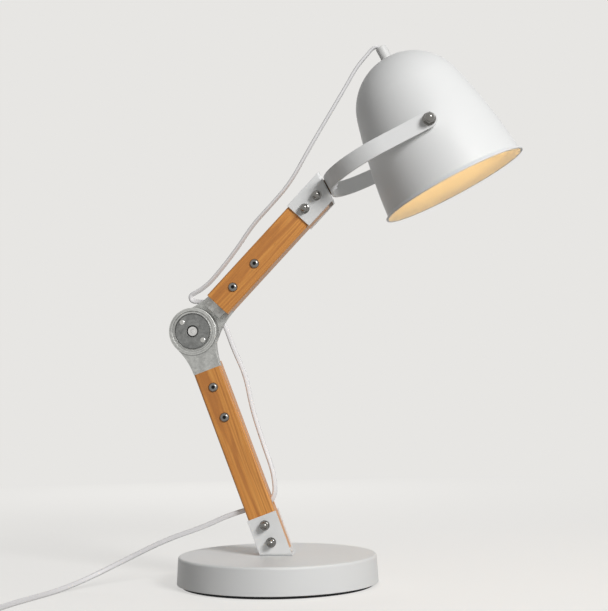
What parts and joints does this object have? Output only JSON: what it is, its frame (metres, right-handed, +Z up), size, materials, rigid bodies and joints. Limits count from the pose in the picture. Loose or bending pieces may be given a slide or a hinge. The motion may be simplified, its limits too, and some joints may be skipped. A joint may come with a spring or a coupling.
{
  "type": "adjustable table lamp",
  "caption": "Adjustable table lamp: heavy round base, wooden arms on a lockable friction elbow, and a round spun shade tilting in a swivelling yoke.",
  "frame": {"origin": "centre of the round base's underside, on the table", "axes": "+Z up, +X from the base towards the lamp's head, -Y towards the front, where the elbow's lower half lies"},
  "size_m": [0.5605, 0.3531, 0.5413],
  "materials": {
    "white_paint": "satin powder coat",
    "cherry_wood": "satin oiled, straight grain along each arm",
    "cast_metal": "raw die casting, mottled",
    "dark_cover": "satin, darker than the casting",
    "nickel": "polished nickel plate",
    "zinc_plate": "zinc plated",
    "iron_weight": "rough casting, hidden",
    "black_pad": "matt",
    "friction_fibre": "pressed fibre",
    "white_cord": "soft, smooth",
    "white_plastic": "moulded",
    "black_plastic": "moulded",
    "bulb_metal": "bright",
    "opal_glass": "opal white"
  },
  "bodies": {
    "stand": {"base_pad": "black_pad", "base_plate": "zinc_plate", "base_plate_screws": "zinc_plate", "base_weight": "iron_weight", "base_cover": "white_paint", "lower_bracket": "white_paint", "bracket_base_screws": "nickel", "lower_bracket_screws": "nickel", "lower_bracket_washers": "nickel", "lower_bracket_cap_nuts": "nickel", "lower_arm": "cherry_wood", "lower_arm_screws": "nickel", "lower_arm_cap_nuts": "nickel", "lower_elbow_casting": "cast_metal", "front_elbow_cover": "dark_cover", "front_cover_screws": "nickel", "elbow_pivot_bolt": "zinc_plate", "elbow_friction_washer": "friction_fibre", "elbow_spring_washers": "zinc_plate", "elbow_pivot_nut": "zinc_plate", "elbow_cord": "white_cord", "supply_cord": "white_cord", "cord_coil": "white_cord", "cord_tie": "white_plastic", "switch_cord": "white_cord", "plug_cord": "white_cord", "switch_bottom_case": "white_plastic", "switch_top_case": "white_plastic", "plug_body": "white_plastic", "plug_pins": "nickel"},
    "upper_arm_body": {"upper_elbow_casting": "cast_metal", "rear_elbow_cover": "dark_cover", "rear_cover_screws": "nickel", "upper_arm": "cherry_wood", "upper_arm_screws": "nickel", "upper_arm_cap_nuts": "nickel", "upper_bracket": "white_paint", "upper_bracket_screws": "nickel", "upper_bracket_washers": "nickel", "upper_bracket_cap_nuts": "nickel", "swivel_bolt": "zinc_plate", "swivel_friction_washer": "friction_fibre", "swivel_nut": "zinc_plate", "arm_cord": "white_cord"},
    "yoke_body": {"yoke": "white_paint", "head_cord": "white_cord"},
    "shade_body": {"shade": "white_paint", "shade_pivot_spacers": "white_paint", "shade_pivot_screws": "nickel", "shade_pivot_washers": "nickel", "shade_pivot_cap_nuts": "nickel", "cord_cap": "white_plastic", "cap_grub_screw": "zinc_plate", "nipple": "zinc_plate", "nipple_nut": "zinc_plate", "lampholder_cap": "black_plastic", "lampholder_body": "black_plastic", "bulb_cap": "bulb_metal", "bulb_glass": "opal_glass"},
    "rocker_body": {"switch_rocker": "white_plastic"}
  },
  "joints": [
    {"name": "elbow", "type": "hinge", "parent": "stand", "child": "upper_arm_body", "pos_m": [-0.08155, 0, 0.25245], "axis": [0, 1, 0], "range_deg": [-60, 50], "deforming": ["elbow_cord", "arm_cord"]},
    {"name": "yoke_swivel", "type": "hinge", "parent": "upper_arm_body", "child": "yoke_body", "pos_m": [0.05495, 0, 0.39629], "axis": [0.8957, 0, 0.4446], "range_deg": [-90, 90], "deforming": ["head_cord", "arm_cord"]},
    {"name": "shade_tilt", "type": "hinge", "parent": "yoke_body", "child": "shade_body", "pos_m": [0.15751, 0, 0.4472], "axis": [0, 1, 0], "range_deg": [-60, 45], "deforming": ["head_cord"]},
    {"name": "switch_rocker", "type": "hinge", "parent": "stand", "child": "rocker_body", "pos_m": [-0.2565, -0.192, 0.0248], "axis": [1, 0, 0], "range_deg": [0, 14]}
  ]
}
